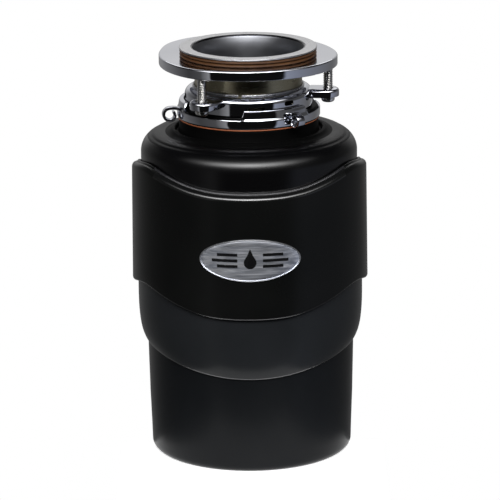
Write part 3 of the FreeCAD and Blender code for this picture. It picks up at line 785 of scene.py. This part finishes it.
# inset, height
EAR_RIM = ((2.6, 297.6), (1.6, 297.5), (0.9, 297.15), (0.35, 296.5), (0.02, 295.6), (0.0, 292.0),
           (0.15, 291.3), (0.7, 291.0), (1.6, 291.1), (1.9, 291.6), (2.0, 294.6), (2.8, 295.6))
ears = []
for a in SCREW_ANGLES:
    loops = [hub_circle(a, radius, z) for radius, z in HUB_TOP]
    loops += [stadium(a, inset, z) for inset, z in EAR_RIM]
    loops.append(hub_circle(a, 4.5, 295.65))
    ears.append(orient(loft("ear", loops, CHROME)))
settle(join([upper] + ears, "upper_ring_skin"), ROOT, "polished_chrome", "upper_mounting_ring")


# ---- lower mounting ring -----------------------------------------------------
def tall(angle):
    """1 where the ring's wall stands tall behind a screw, 0 where it is a low rim."""
    best = 0.0
    for a in SCREW_ANGLES:
        local = (angle - (a + 29)) % 360.0
        if local < 62:
            best = max(best, smooth(local / 2.4) * smooth((62 - local) / 2.4))
    return best


def lower_ring_section(psi):
    """Channel section: the wall follows one path, cut short where the rim is low."""
    lift = tall(psi - 90.0)
    path = [(57.2, 279.0), (57.2, 281.7), (57.1, 282.2), (56.75, 282.6), (56.45, 282.9), (56.3, 283.4),
            (55.5, 288.3), (55.2, 288.9), (54.6, 289.3), (51.9, 289.4)]
    lengths = [0.0]
    for (r0, z0), (r1, z1) in zip(path, path[1:]):
        lengths.append(lengths[-1] + math.hypot(r1 - r0, z1 - z0))
    low_rim = 3.4
    reach = low_rim + (lengths[-1] - low_rim) * lift
    table_r = [(s, p[0]) for s, p in zip(lengths, path)]
    table_z = [(s, p[1]) for s, p in zip(lengths, path)]
    stops = [reach * k / 12 for k in range(13)]
    outer = [(lerp_table(table_r, s), lerp_table(table_z, s)) for s in stops]
    inner, wall = [], 1.4
    for i, (r, z) in enumerate(outer):
        (ra, za), (rb, zb) = outer[max(0, i - 1)], outer[min(12, i + 1)]
        n = math.hypot(rb - ra, zb - za) or 1.0
        inner.append((r - (zb - za) / n * wall, z + (rb - ra) / n * wall))
    out = [(50.6, 275.3), (50.9, 275.1), (56.3, 275.1), (56.9, 275.35), (57.2, 276.0)]
    out += outer + inner[::-1] + [(55.75, 277.2), (55.3, 276.75), (50.9, 276.7), (50.6, 276.5)]
    return out


def scroll(angle, lift=0.0, width=7.4):
    """Tongue off the band that rolls outward and under into a loop, its free end curled inside."""
    line = [(55.2 if lift else 56.6, 282.0 + lift), (58.6, 282.5 + lift), (61.0, 282.75 + lift)]
    cx, cz = 63.4, 277.6 + lift
    for k in range(1, 27):
        a = math.radians(94.0 - 12.2 * k)
        r = 5.0 - 1.9 * smooth((k - 16) / 12.0)
        line.append((cx + r * math.cos(a), cz + r * math.sin(a)))
    loops = []
    for i, (r, z) in enumerate(line):
        (ra, za), (rb, zb) = line[max(0, i - 1)], line[min(len(line) - 1, i + 1)]
        n = math.hypot(rb - ra, zb - za)
        nr, nz = (zb - za) / n, -(rb - ra) / n
        half = 1.2 if i < len(line) - 1 else 0.8
        loop = []
        for k in range(16):
            t = 2 * math.pi * k / 16
            u = math.copysign(abs(math.cos(t)) ** 0.35, math.cos(t)) * width / 2
            v = math.copysign(abs(math.sin(t)) ** 0.55, math.sin(t)) * half
            loop.append(polar(r + nr * v, angle, z + nz * v) + polar(u, angle + 90.0))
        loops.append(loop)
    return orient(loft("scroll", loops, CHROME, closed=False))


lower_ring = [orient(lathe("lower_ring_shell", lower_ring_section, CHROME, 288))]
lower_ring += [scroll(a, lift) for a, lift in zip(LUG_ANGLES, (0.0, 3.0, 0.0))]
settle(join(lower_ring, "lower_ring_skin"), "locking_ring", "polished_chrome", "lower_mounting_ring")


# ---- mounting screws with real threads ---------------------------------------
PITCH, SCREW_SIDES = 1.41, 28
THREAD_BOTTOM, SCREW_TOP = 290.9, 320.6
THREAD_ROWS = int((SCREW_TOP - THREAD_BOTTOM) / (PITCH / 7)) + 1
HEAD_PROFILE = ((0.6, 286.0), (2.6, 286.05), (4.2, 286.5), (5.1, 287.4), (5.4, 288.6), (5.4, 289.8),
                (5.2, 290.3), (4.6, 290.5), (3.6, 290.5))
DRIVER_SLOT = ((-6, -0.6), (6, -0.6), (6, 0.6), (-6, 0.6))


def thread_radius(z, turn):
    """Radius of the thread at a height and a fraction of a turn; it fades out at the screw's tip."""
    fade = smooth((SCREW_TOP - z) / 1.6)
    ridge = 1.0 - abs(2.0 * ((z / PITCH - turn) % 1.0) - 1.0)
    return 2.95 + 0.98 * min(1.0, ridge * 1.15) * (0.25 + 0.75 * fade) - 0.45 * (1 - fade)


def screw_mesh(name, angle):
    """Slotted round head below a helical thread."""
    centre = polar(SCREW_RADIUS, angle)
    turns = [k / SCREW_SIDES for k in range(SCREW_SIDES)]

    def around(turn, r, z):
        t = 2 * math.pi * turn
        return (centre.x + r * math.cos(t), centre.y + r * math.sin(t), z)

    loops = [[around(turn, r, z) for turn in turns] for r, z in HEAD_PROFILE]
    for q in range(THREAD_ROWS + 1):
        z = THREAD_BOTTOM + (SCREW_TOP - THREAD_BOTTOM) * q / THREAD_ROWS
        loops.append([around(turn, thread_radius(z, turn), z) for turn in turns])
    screw = orient(loft(name, loops, ZINC, closed=False))
    # The thread's roots get the dark zinc as painted shade.
    second_material(screw, THREAD_ROOT_SHADE,
                    lambda p, n: p.z > 291 and math.hypot(p.x - centre.x, p.y - centre.y) < 3.2)
    slot = [[(centre.x + x, centre.y + y, z) for x, y in DRIVER_SLOT] for z in (285.0, 287.5)]
    return cut(screw, orient(loft("tool", slot, BLANK, closed=False)))


for number, a in enumerate(SCREW_ANGLES, 1):
    screw = screw_mesh("mounting_screw_%d_skin" % number, a)
    settle(screw, "screw_%d" % number, "zinc_steel", "mounting_screw_%d" % number)

# ---- neck --------------------------------------------------------------------
collar_outline = rounded([(50.1, 259.5), (58.5, 259.5), (58.5, 262.6), (56.6, 263.2), (55.8, 265.0),
                          (55.8, 273.7), (50.1, 273.7)], {2: 0.5, 3: 0.8, 5: 1.4}, 5)
collar = lathe("neck_collar_skin", lambda psi: collar_outline, RUBBER, 144)
settle(collar, ROOT, "black_rubber", "neck_collar")
washer_outline = rounded([(50.1, 273.82), (56.5, 273.82), (56.5, 274.88), (50.1, 274.88)],
                         {1: 0.4, 2: 0.4})
washer = lathe("fibre_washer_skin", lambda psi: washer_outline, COPPER_FIBRE, 144)
settle(washer, ROOT, "fibre", "fibre_washer")

# ---- CAD parts that stay, with their finishes --------------------------------
FINISH = {
    ZINC: ("base_cover", "wiring_cover_plate", "wiring_cover_screw", "through_bolts", "wrench_socket",
           "container_screws", "turntable_nut"),
    BRONZE: ("ground_screw", "lower_bushing", "upper_bushing", "thrust_washer"),
    GREY_PLASTIC: ("overload_protector", "centrifugal_actuator", "start_switch"),
    RED_PLASTIC: ("reset_button",),
    ALLOY: ("lower_end_frame", "upper_end_bell", "rotor_end_rings"),
    LAMINATE: ("stator_core", "rotor_core"),
    COPPER: ("upper_winding", "lower_winding"),
    STEEL: ("shaft", "grind_container", "turntable", "lug_pins", "impeller_lug_a", "impeller_lug_b",
            "snap_ring"),
    DRAIN: ("drain_chamber", "outlet_body"),
    RUBBER: ("shaft_seal", "water_slinger", "chamber_gasket", "cushion_mount", "splash_baffle"),
    IRON: ("grind_ring",),
    FOAM: ("insulation_jacket",),
}
for material, names in FINISH.items():
    for name in names:
        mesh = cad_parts[name].data
        mesh.materials.clear()
        mesh.materials.append(material)

# ---- floor, light and camera -------------------------------------------------
bpy.data.materials.remove(BLANK)
floor_mat = new_material("pale_floor", (0.86, 0.86, 0.86), 0.6, Specular_IOR_Level=0.1)
tint(floor_mat, noise(floor_mat, 3.0), (0.85, 0.85, 0.85), (0.88, 0.88, 0.88))
floor_shader = floor_mat.node_tree.nodes["Principled BSDF"]
floor_shader.inputs["Emission Color"].default_value = (1, 1, 1, 1)
floor_shader.inputs["Emission Strength"].default_value = 0.60
floor_corners = [(-106, -180, 0), (106, -180, 0), (106, 0, 0), (-106, 0, 0)]
make_object("floor", floor_corners, [(0, 1, 2, 3)], floor_mat)

# studio sides: azimuth in degrees, 0 at the camera's side, and radiance, for rays that go down and up
BELOW = ((-180, 0.27), (-150, 0.26), (-125, 0.17), (-110, 0.12), (-85, 0.06), (-55, 0.09), (-36, 0.32),
         (-34, 0.006), (0, 0.006), (44, 0.006), (48, (0.32, 0.35, 0.42, 1)), (60, (0.26, 0.28, 0.34, 1)),
         (88, (0.21, 0.22, 0.25, 1)), (134, 0.15), (155, 0.20), (180, 0.27))
ABOVE = ((-180, 0.70), (-162, 0.60), (-142, 0.20), (-110, 0.05), (-60, 0.05), (-33, 0.10), (-30, 0.006),
         (0, 0.006), (44, 0.006), (48, 0.12), (88, 0.06), (134, 0.10), (160, 0.45), (180, 0.70))
# lamp high in front: strength against azimuth, and against the height of the ray's direction
GLOW = ((-180, 0.0), (-85, 0.0), (-60, 0.10), (-28, 0.6), (0, 1.0), (28, 0.6), (60, 0.10), (85, 0.0),
        (180, 0.0))
GLOW_HEIGHT = ((-1, 0.0), (0.44, 0.0), (0.54, 0.8), (0.62, 1.0), (0.70, 0.4), (0.78, 0.0), (1, 0.0))
GLOW_POWER = 24.0
HORIZON_BLEND = ((-1, 0.0), (-0.06, 0.0), (0.06, 1.0), (1, 1.0))
CEILING_BLEND = ((-1, 0.0), (0.34, 0.0), (0.48, 1.0), (1, 1.0))
CEILING = (0.022, 0.022, 0.025, 1)


def studio_world():
    """Pale to the camera; a studio of bright and dark sides to everything else."""
    world = bpy.data.worlds.new("studio")
    bpy.context.scene.world = world
    world.use_nodes = True
    tree = world.node_tree
    tree.nodes.clear()

    def node(kind, **values):
        made = tree.nodes.new(kind)
        for key, value in values.items():
            setattr(made, key, value)
        return made

    coord = node("ShaderNodeTexCoord")
    split = node("ShaderNodeSeparateXYZ")
    tree.links.new(coord.outputs["Generated"], split.inputs["Vector"])
    flip = node("ShaderNodeMath", operation="MULTIPLY")
    flip.inputs[1].default_value = -1.0
    tree.links.new(split.outputs["Y"], flip.inputs[0])
    azimuth = node("ShaderNodeMath", operation="ARCTAN2")
    tree.links.new(split.outputs["X"], azimuth.inputs[0])
    tree.links.new(flip.outputs[0], azimuth.inputs[1])
    turn = node("ShaderNodeMapRange")
    turn.inputs["From Min"].default_value, turn.inputs["From Max"].default_value = -math.pi, math.pi
    tree.links.new(azimuth.outputs[0], turn.inputs["Value"])

    def ramp(source, stops, low, high):
        """Grey ramp over an angle or a height."""
        made = node("ShaderNodeValToRGB")
        elements = made.color_ramp.elements
        while len(elements) < len(stops):
            elements.new(0.5)
        for element, (place, value) in zip(elements, stops):
            element.position = (place - low) / (high - low)
            element.color = value if isinstance(value, tuple) else (value, value, value, 1)
        tree.links.new(source, made.inputs["Fac"])
        return made.outputs["Color"]

    def blend(kind, fac, first, second):
        """Mix of two colours, each a socket or a value; no fac means all of it."""
        made = node("ShaderNodeMix", data_type="RGBA", blend_type=kind)
        made.inputs[0].default_value = 1.0
        for socket, value in ((made.inputs[0], fac), (made.inputs[6], first), (made.inputs[7], second)):
            if isinstance(value, tuple):
                socket.default_value = value
            elif value is not None:
                tree.links.new(value, socket)
        return made.outputs[2]

    turned = turn.outputs["Result"]
    below = ramp(turned, BELOW, -180.0, 180.0)
    above = ramp(turned, ABOVE, -180.0, 180.0)
    glow = ramp(turned, GLOW, -180.0, 180.0)
    rise = node("ShaderNodeMapRange")
    rise.inputs["From Min"].default_value, rise.inputs["From Max"].default_value = -1.0, 1.0
    tree.links.new(split.outputs["Z"], rise.inputs["Value"])
    level = rise.outputs["Result"]
    sides = blend("MIX", ramp(level, HORIZON_BLEND, -1.0, 1.0), below, above)
    room = blend("MIX", ramp(level, CEILING_BLEND, -1.0, 1.0), sides, CEILING)
    lamp = blend("MULTIPLY", None, glow, ramp(level, GLOW_HEIGHT, -1.0, 1.0))
    studio = node("ShaderNodeBackground")
    tree.links.new(room, studio.inputs["Color"])
    bright = node("ShaderNodeBackground")
    bright.inputs["Strength"].default_value = GLOW_POWER
    tree.links.new(lamp, bright.inputs["Color"])
    both = node("ShaderNodeAddShader")
    tree.links.new(studio.outputs[0], both.inputs[0])
    tree.links.new(bright.outputs[0], both.inputs[1])
    pale = node("ShaderNodeBackground")
    pale.inputs["Color"].default_value = (1.0, 1.0, 1.0, 1)
    path = node("ShaderNodeLightPath")
    pick = node("ShaderNodeMixShader")
    tree.links.new(path.outputs["Is Camera Ray"], pick.inputs[0])
    tree.links.new(both.outputs[0], pick.inputs[1])
    tree.links.new(pale.outputs[0], pick.inputs[2])
    out = node("ShaderNodeOutputWorld")
    tree.links.new(pick.outputs[0], out.inputs["Surface"])


studio_world()


def softbox(name, place, target, width, height, power):
    """Rectangular area light aimed at a target."""
    light = bpy.data.lights.new(name, "AREA")
    light.shape, light.size, light.size_y, light.energy = "RECTANGLE", width, height, power
    obj = bpy.data.objects.new(name, light)
    bpy.context.scene.collection.objects.link(obj)
    obj.location = place
    obj.rotation_euler = (Vector(target) - Vector(place)).to_track_quat("-Z", "Y").to_euler()


softbox("back_softbox", (0.0, 1.6, 1.3), (0, 0, 0.2), 1.6, 0.5, 5.0)

CAMERA_PLACE = (0.0, -2.870, 0.9263)
LOOK_DOWN, ROLL = 14.9, -0.573           # degrees
camera_data = bpy.data.cameras.new("camera")
camera_data.lens, camera_data.sensor_width = 264.6, 36.0
camera_data.clip_end = 50.0
camera = bpy.data.objects.new("camera", camera_data)
bpy.context.scene.collection.objects.link(camera)
camera.matrix_world = (Matrix.Translation(CAMERA_PLACE)
                       @ Matrix.Rotation(math.radians(90 - LOOK_DOWN), 4, "X")
                       @ Matrix.Rotation(math.radians(ROLL), 4, "Z"))
bpy.context.scene.camera = camera
bpy.context.scene.view_settings.view_transform = "Standard"
